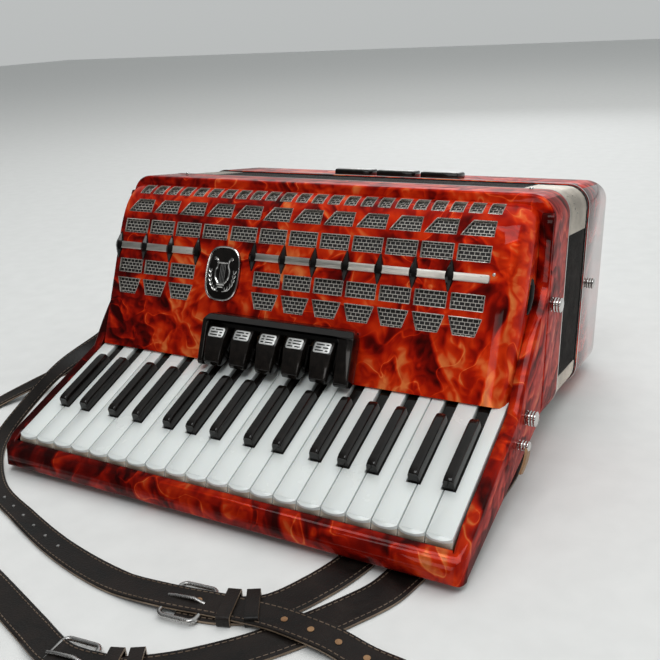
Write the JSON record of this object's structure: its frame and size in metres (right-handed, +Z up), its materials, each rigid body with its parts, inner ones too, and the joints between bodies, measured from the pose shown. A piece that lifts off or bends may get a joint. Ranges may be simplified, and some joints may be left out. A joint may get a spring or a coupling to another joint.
{
  "type": "piano accordion",
  "caption": "Piano accordion with a sloping keyboard, pierced grille, register switches, sliding bellows, bass buttons and leather straps.",
  "frame": {"origin": "centre of the base of the whole object's box, on the surface it lies on", "axes": "+X along the keyboard towards the high notes, +Y from the key fronts to the bass side, +Z up"},
  "size_m": [0.5442, 0.6238, 0.2174],
  "materials": {
    "red_celluloid": "polished pearlescent celluloid, marbled red with orange folds",
    "white_key": "polished",
    "black_key": "polished",
    "black_plastic": "polished",
    "chrome": "polished",
    "steel": "bright drawn rod",
    "aluminium": "satin",
    "grille_mesh": "black cloth woven with silver thread",
    "reed_wood": "bare spruce",
    "bellows_cloth": "cloth-covered card with pale metal corners",
    "bass_button": "polished",
    "leather": "worn black leather with stitched edges"
  },
  "bodies": {
    "treble_side": {"treble_case": "red_celluloid", "keyboard_frame": "red_celluloid", "key_axle": "steel", "foundation_plate": "aluminium", "treble_reed_block": "reed_wood", "treble_grille": "red_celluloid", "grille_mesh": "grille_mesh", "register_housing": "black_plastic", "bellows": "bellows_cloth", "shoulder_strap_1": "leather", "shoulder_strap_2": "leather"},
    "bass_side": {"bass_case": "red_celluloid", "bass_reed_block": "reed_wood", "bass_cover": "black_plastic", "bass_button_board": "black_plastic", "bass_hand_strap": "leather"},
    "key_g_3": {"key_g_3": "white_key"},
    "key_g_sharp_3": {"key_g_sharp_3": "black_key"},
    "key_a_3": {"key_a_3": "white_key"},
    "key_a_sharp_3": {"key_a_sharp_3": "black_key"},
    "key_b_3": {"key_b_3": "white_key"},
    "key_c_4": {"key_c_4": "white_key"},
    "key_c_sharp_4": {"key_c_sharp_4": "black_key"},
    "key_d_4": {"key_d_4": "white_key"},
    "key_d_sharp_4": {"key_d_sharp_4": "black_key"},
    "key_e_4": {"key_e_4": "white_key"},
    "key_f_4": {"key_f_4": "white_key"},
    "key_f_sharp_4": {"key_f_sharp_4": "black_key"},
    "key_g_4": {"key_g_4": "white_key"},
    "key_g_sharp_4": {"key_g_sharp_4": "black_key"},
    "key_a_4": {"key_a_4": "white_key"},
    "key_a_sharp_4": {"key_a_sharp_4": "black_key"},
    "key_b_4": {"key_b_4": "white_key"},
    "key_c_5": {"key_c_5": "white_key"},
    "key_c_sharp_5": {"key_c_sharp_5": "black_key"},
    "key_d_5": {"key_d_5": "white_key"},
    "key_d_sharp_5": {"key_d_sharp_5": "black_key"},
    "key_e_5": {"key_e_5": "white_key"},
    "key_f_5": {"key_f_5": "white_key"},
    "key_f_sharp_5": {"key_f_sharp_5": "black_key"},
    "key_g_5": {"key_g_5": "white_key"},
    "key_g_sharp_5": {"key_g_sharp_5": "black_key"},
    "key_a_5": {"key_a_5": "white_key"},
    "key_a_sharp_5": {"key_a_sharp_5": "black_key"},
    "key_b_5": {"key_b_5": "white_key"},
    "key_c_6": {"key_c_6": "white_key"},
    "key_c_sharp_6": {"key_c_sharp_6": "black_key"},
    "key_d_6": {"key_d_6": "white_key"},
    "key_d_sharp_6": {"key_d_sharp_6": "black_key"},
    "key_e_6": {"key_e_6": "white_key"},
    "register_switch_1": {"register_switch_1": "black_plastic"},
    "register_switch_2": {"register_switch_2": "black_plastic"},
    "register_switch_3": {"register_switch_3": "black_plastic"},
    "register_switch_4": {"register_switch_4": "black_plastic"},
    "register_switch_5": {"register_switch_5": "black_plastic"},
    "bass_buttons": {"bass_buttons": "bass_button"},
    "air_button": {"air_button": "chrome"},
    "bass_register_1": {"bass_register_1": "black_plastic"},
    "bass_register_2": {"bass_register_2": "black_plastic"},
    "bass_register_3": {"bass_register_3": "black_plastic"}
  },
  "joints": [
    {"name": "bellows_slide", "type": "slide", "parent": "treble_side", "child": "bass_side", "axis": [0, 0.9916, -0.1291], "range_m": [0, 0.28], "deforming": ["bellows"]},
    {"name": "key_g_3_hinge", "type": "hinge", "parent": "treble_side", "child": "key_g_3", "pos_m": [-0.13261, 0.01487, 0.07251], "axis": [1, 0, 0], "range_deg": [0, 2], "stiffness_Nm_per_rad": 0.8, "springref_deg": -6.88},
    {"name": "key_g_sharp_3_hinge", "type": "hinge", "parent": "treble_side", "child": "key_g_sharp_3", "pos_m": [-0.12033, 0.01487, 0.07251], "axis": [1, 0, 0], "range_deg": [0, 2], "stiffness_Nm_per_rad": 0.8, "springref_deg": -6.88},
    {"name": "key_a_3_hinge", "type": "hinge", "parent": "treble_side", "child": "key_a_3", "pos_m": [-0.10863, 0.01487, 0.07251], "axis": [1, 0, 0], "range_deg": [0, 2], "stiffness_Nm_per_rad": 0.8, "springref_deg": -6.88},
    {"name": "key_a_sharp_3_hinge", "type": "hinge", "parent": "treble_side", "child": "key_a_sharp_3", "pos_m": [-0.09693, 0.01487, 0.07251], "axis": [1, 0, 0], "range_deg": [0, 2], "stiffness_Nm_per_rad": 0.8, "springref_deg": -6.88},
    {"name": "key_b_3_hinge", "type": "hinge", "parent": "treble_side", "child": "key_b_3", "pos_m": [-0.08656, 0.01487, 0.07251], "axis": [1, 0, 0], "range_deg": [0, 2], "stiffness_Nm_per_rad": 0.8, "springref_deg": -6.88},
    {"name": "key_c_4_hinge", "type": "hinge", "parent": "treble_side", "child": "key_c_4", "pos_m": [-0.07546, 0.01487, 0.07251], "axis": [1, 0, 0], "range_deg": [0, 2], "stiffness_Nm_per_rad": 0.8, "springref_deg": -6.88},
    {"name": "key_c_sharp_4_hinge", "type": "hinge", "parent": "treble_side", "child": "key_c_sharp_4", "pos_m": [-0.06483, 0.01487, 0.07251], "axis": [1, 0, 0], "range_deg": [0, 2], "stiffness_Nm_per_rad": 0.8, "springref_deg": -6.88},
    {"name": "key_d_4_hinge", "type": "hinge", "parent": "treble_side", "child": "key_d_4", "pos_m": [-0.05188, 0.01487, 0.07251], "axis": [1, 0, 0], "range_deg": [0, 2], "stiffness_Nm_per_rad": 0.8, "springref_deg": -6.88},
    {"name": "key_d_sharp_4_hinge", "type": "hinge", "parent": "treble_side", "child": "key_d_sharp_4", "pos_m": [-0.03893, 0.01487, 0.07251], "axis": [1, 0, 0], "range_deg": [0, 2], "stiffness_Nm_per_rad": 0.8, "springref_deg": -6.88},
    {"name": "key_e_4_hinge", "type": "hinge", "parent": "treble_side", "child": "key_e_4", "pos_m": [-0.02816, 0.01487, 0.07251], "axis": [1, 0, 0], "range_deg": [0, 2], "stiffness_Nm_per_rad": 0.8, "springref_deg": -6.88},
    {"name": "key_f_4_hinge", "type": "hinge", "parent": "treble_side", "child": "key_f_4", "pos_m": [-0.01691, 0.01487, 0.07251], "axis": [1, 0, 0], "range_deg": [0, 2], "stiffness_Nm_per_rad": 0.8, "springref_deg": -6.88},
    {"name": "key_f_sharp_4_hinge", "type": "hinge", "parent": "treble_side", "child": "key_f_sharp_4", "pos_m": [-0.00653, 0.01487, 0.07251], "axis": [1, 0, 0], "range_deg": [0, 2], "stiffness_Nm_per_rad": 0.8, "springref_deg": -6.88},
    {"name": "key_g_4_hinge", "type": "hinge", "parent": "treble_side", "child": "key_g_4", "pos_m": [0.00517, 0.01487, 0.07251], "axis": [1, 0, 0], "range_deg": [0, 2], "stiffness_Nm_per_rad": 0.8, "springref_deg": -6.88},
    {"name": "key_g_sharp_4_hinge", "type": "hinge", "parent": "treble_side", "child": "key_g_sharp_4", "pos_m": [0.01687, 0.01487, 0.07251], "axis": [1, 0, 0], "range_deg": [0, 2], "stiffness_Nm_per_rad": 0.8, "springref_deg": -6.88},
    {"name": "key_a_4_hinge", "type": "hinge", "parent": "treble_side", "child": "key_a_4", "pos_m": [0.02857, 0.01487, 0.07251], "axis": [1, 0, 0], "range_deg": [0, 2], "stiffness_Nm_per_rad": 0.8, "springref_deg": -6.88},
    {"name": "key_a_sharp_4_hinge", "type": "hinge", "parent": "treble_side", "child": "key_a_sharp_4", "pos_m": [0.04027, 0.01487, 0.07251], "axis": [1, 0, 0], "range_deg": [0, 2], "stiffness_Nm_per_rad": 0.8, "springref_deg": -6.88},
    {"name": "key_b_4_hinge", "type": "hinge", "parent": "treble_side", "child": "key_b_4", "pos_m": [0.05064, 0.01487, 0.07251], "axis": [1, 0, 0], "range_deg": [0, 2], "stiffness_Nm_per_rad": 0.8, "springref_deg": -6.88},
    {"name": "key_c_5_hinge", "type": "hinge", "parent": "treble_side", "child": "key_c_5", "pos_m": [0.06174, 0.01487, 0.07251], "axis": [1, 0, 0], "range_deg": [0, 2], "stiffness_Nm_per_rad": 0.8, "springref_deg": -6.88},
    {"name": "key_c_sharp_5_hinge", "type": "hinge", "parent": "treble_side", "child": "key_c_sharp_5", "pos_m": [0.07237, 0.01487, 0.07251], "axis": [1, 0, 0], "range_deg": [0, 2], "stiffness_Nm_per_rad": 0.8, "springref_deg": -6.88},
    {"name": "key_d_5_hinge", "type": "hinge", "parent": "treble_side", "child": "key_d_5", "pos_m": [0.08532, 0.01487, 0.07251], "axis": [1, 0, 0], "range_deg": [0, 2], "stiffness_Nm_per_rad": 0.8, "springref_deg": -6.88},
    {"name": "key_d_sharp_5_hinge", "type": "hinge", "parent": "treble_side", "child": "key_d_sharp_5", "pos_m": [0.09827, 0.01487, 0.07251], "axis": [1, 0, 0], "range_deg": [0, 2], "stiffness_Nm_per_rad": 0.8, "springref_deg": -6.88},
    {"name": "key_e_5_hinge", "type": "hinge", "parent": "treble_side", "child": "key_e_5", "pos_m": [0.10904, 0.01487, 0.07251], "axis": [1, 0, 0], "range_deg": [0, 2], "stiffness_Nm_per_rad": 0.8, "springref_deg": -6.88},
    {"name": "key_f_5_hinge", "type": "hinge", "parent": "treble_side", "child": "key_f_5", "pos_m": [0.12029, 0.01487, 0.07251], "axis": [1, 0, 0], "range_deg": [0, 2], "stiffness_Nm_per_rad": 0.8, "springref_deg": -6.88},
    {"name": "key_f_sharp_5_hinge", "type": "hinge", "parent": "treble_side", "child": "key_f_sharp_5", "pos_m": [0.13067, 0.01487, 0.07251], "axis": [1, 0, 0], "range_deg": [0, 2], "stiffness_Nm_per_rad": 0.8, "springref_deg": -6.88},
    {"name": "key_g_5_hinge", "type": "hinge", "parent": "treble_side", "child": "key_g_5", "pos_m": [0.14237, 0.01487, 0.07251], "axis": [1, 0, 0], "range_deg": [0, 2], "stiffness_Nm_per_rad": 0.8, "springref_deg": -6.88},
    {"name": "key_g_sharp_5_hinge", "type": "hinge", "parent": "treble_side", "child": "key_g_sharp_5", "pos_m": [0.15407, 0.01487, 0.07251], "axis": [1, 0, 0], "range_deg": [0, 2], "stiffness_Nm_per_rad": 0.8, "springref_deg": -6.88},
    {"name": "key_a_5_hinge", "type": "hinge", "parent": "treble_side", "child": "key_a_5", "pos_m": [0.16577, 0.01487, 0.07251], "axis": [1, 0, 0], "range_deg": [0, 2], "stiffness_Nm_per_rad": 0.8, "springref_deg": -6.88},
    {"name": "key_a_sharp_5_hinge", "type": "hinge", "parent": "treble_side", "child": "key_a_sharp_5", "pos_m": [0.17747, 0.01487, 0.07251], "axis": [1, 0, 0], "range_deg": [0, 2], "stiffness_Nm_per_rad": 0.8, "springref_deg": -6.88},
    {"name": "key_b_5_hinge", "type": "hinge", "parent": "treble_side", "child": "key_b_5", "pos_m": [0.18784, 0.01487, 0.07251], "axis": [1, 0, 0], "range_deg": [0, 2], "stiffness_Nm_per_rad": 0.8, "springref_deg": -6.88},
    {"name": "key_c_6_hinge", "type": "hinge", "parent": "treble_side", "child": "key_c_6", "pos_m": [0.19894, 0.01487, 0.07251], "axis": [1, 0, 0], "range_deg": [0, 2], "stiffness_Nm_per_rad": 0.8, "springref_deg": -6.88},
    {"name": "key_c_sharp_6_hinge", "type": "hinge", "parent": "treble_side", "child": "key_c_sharp_6", "pos_m": [0.20957, 0.01487, 0.07251], "axis": [1, 0, 0], "range_deg": [0, 2], "stiffness_Nm_per_rad": 0.8, "springref_deg": -6.88},
    {"name": "key_d_6_hinge", "type": "hinge", "parent": "treble_side", "child": "key_d_6", "pos_m": [0.22252, 0.01487, 0.07251], "axis": [1, 0, 0], "range_deg": [0, 2], "stiffness_Nm_per_rad": 0.8, "springref_deg": -6.88},
    {"name": "key_d_sharp_6_hinge", "type": "hinge", "parent": "treble_side", "child": "key_d_sharp_6", "pos_m": [0.23547, 0.01487, 0.07251], "axis": [1, 0, 0], "range_deg": [0, 2], "stiffness_Nm_per_rad": 0.8, "springref_deg": -6.88},
    {"name": "key_e_6_hinge", "type": "hinge", "parent": "treble_side", "child": "key_e_6", "pos_m": [0.24624, 0.01487, 0.07251], "axis": [1, 0, 0], "range_deg": [0, 2], "stiffness_Nm_per_rad": 0.8, "springref_deg": -6.88},
    {"name": "register_switch_1_slide", "type": "slide", "parent": "treble_side", "child": "register_switch_1", "axis": [0, 0.9169, -0.3991], "range_m": [0, 0.003], "stiffness_N_per_m": 500, "springref_m": -0.004},
    {"name": "register_switch_2_slide", "type": "slide", "parent": "treble_side", "child": "register_switch_2", "axis": [0, 0.9169, -0.3991], "range_m": [0, 0.003], "stiffness_N_per_m": 500, "springref_m": -0.004},
    {"name": "register_switch_3_slide", "type": "slide", "parent": "treble_side", "child": "register_switch_3", "axis": [0, 0.9169, -0.3991], "range_m": [0, 0.003], "stiffness_N_per_m": 500, "springref_m": -0.004},
    {"name": "register_switch_4_slide", "type": "slide", "parent": "treble_side", "child": "register_switch_4", "axis": [0, 0.9169, -0.3991], "range_m": [0, 0.003], "stiffness_N_per_m": 500, "springref_m": -0.004},
    {"name": "register_switch_5_slide", "type": "slide", "parent": "treble_side", "child": "register_switch_5", "axis": [0, 0.9169, -0.3991], "range_m": [0, 0.003], "stiffness_N_per_m": 500, "springref_m": -0.004},
    {"name": "bass_buttons_slide", "type": "slide", "parent": "bass_side", "child": "bass_buttons", "axis": [0, -0.9916, 0.1291], "range_m": [0, 0.003], "stiffness_N_per_m": 600, "springref_m": -0.004},
    {"name": "air_button_slide", "type": "slide", "parent": "bass_side", "child": "air_button", "axis": [0, -0.9916, 0.1291], "range_m": [0, 0.004], "stiffness_N_per_m": 500, "springref_m": -0.004},
    {"name": "bass_register_1_slide", "type": "slide", "parent": "bass_side", "child": "bass_register_1", "axis": [0, -0.1291, -0.9916], "range_m": [0, 0.002], "stiffness_N_per_m": 500, "springref_m": -0.004},
    {"name": "bass_register_2_slide", "type": "slide", "parent": "bass_side", "child": "bass_register_2", "axis": [0, -0.1291, -0.9916], "range_m": [0, 0.002], "stiffness_N_per_m": 500, "springref_m": -0.004},
    {"name": "bass_register_3_slide", "type": "slide", "parent": "bass_side", "child": "bass_register_3", "axis": [0, -0.1291, -0.9916], "range_m": [0, 0.002], "stiffness_N_per_m": 500, "springref_m": -0.004}
  ]
}
